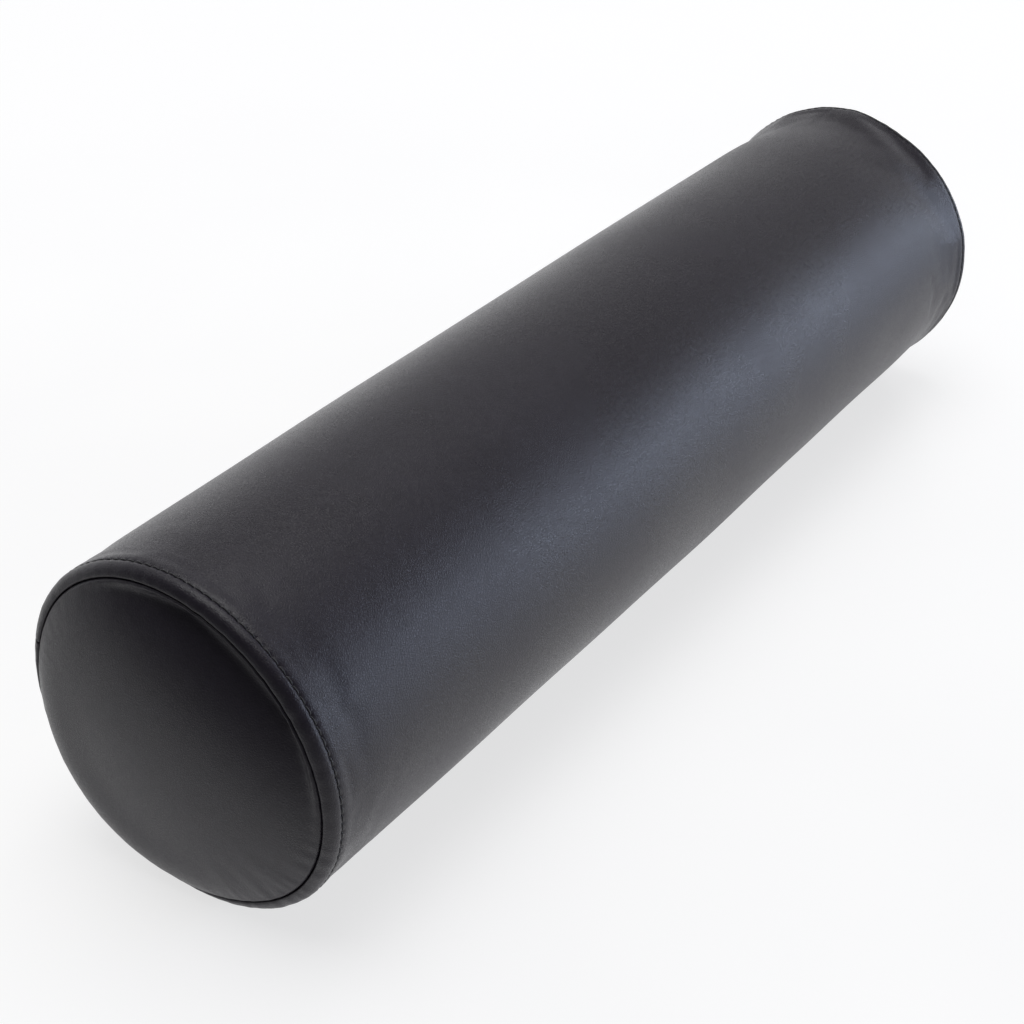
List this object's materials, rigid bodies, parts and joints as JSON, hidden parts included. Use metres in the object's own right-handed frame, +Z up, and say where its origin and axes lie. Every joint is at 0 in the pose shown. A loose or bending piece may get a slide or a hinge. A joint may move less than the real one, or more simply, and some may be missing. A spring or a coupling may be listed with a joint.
{
  "type": "bolster pillow",
  "caption": "Round foam bolster in a smooth black faux-leather cover with flat stitched ends and a zip along its side, for propping limbs on a massage table.",
  "frame": {"origin": "middle of the flat strip that the bolster rests on", "axes": "+X along the bolster from its front end to its rear end, +Y towards the side with the zip, +Z up"},
  "size_m": [0.6, 0.1602, 0.1571],
  "materials": {
    "cover_leather": "satin",
    "foam": "matte",
    "wadding": "matte",
    "thread": "matte",
    "zip_tape": "matte",
    "zip_coil": "satin",
    "zip_metal": "satin"
  },
  "bodies": {
    "bolster": {"foam_core": "foam", "wadding_wrap": "wadding", "wadding_end_front": "wadding", "wadding_end_rear": "wadding", "cover_body_panel": "cover_leather", "end_panel_front": "cover_leather", "end_panel_rear": "cover_leather", "topstitch_front": "thread", "topstitch_rear": "thread", "seam_thread_front": "thread", "seam_thread_rear": "thread", "zip_bar_tack_front": "thread", "zip_bar_tack_rear": "thread", "zip_stitch_upper": "thread", "zip_stitch_lower": "thread", "zip_tape_upper": "zip_tape", "zip_tape_lower": "zip_tape", "zip_coil_upper": "zip_coil", "zip_coil_lower": "zip_coil", "zip_top_stop_upper": "zip_metal", "zip_top_stop_lower": "zip_metal", "zip_bottom_stop": "zip_metal"},
    "slider": {"zip_slider": "zip_metal"},
    "pull_tab": {"zip_pull_tab": "zip_metal"}
  },
  "joints": [
    {"name": "zip_travel", "type": "slide", "parent": "bolster", "child": "slider", "axis": [-1, 0, 0], "range_m": [0, 0.48]},
    {"name": "pull_tab_hinge", "type": "hinge", "parent": "slider", "child": "pull_tab", "pos_m": [0.2403, 0.07896, 0.09924], "axis": [0, 0.2588, -0.9659], "range_deg": [0, 180]}
  ]
}
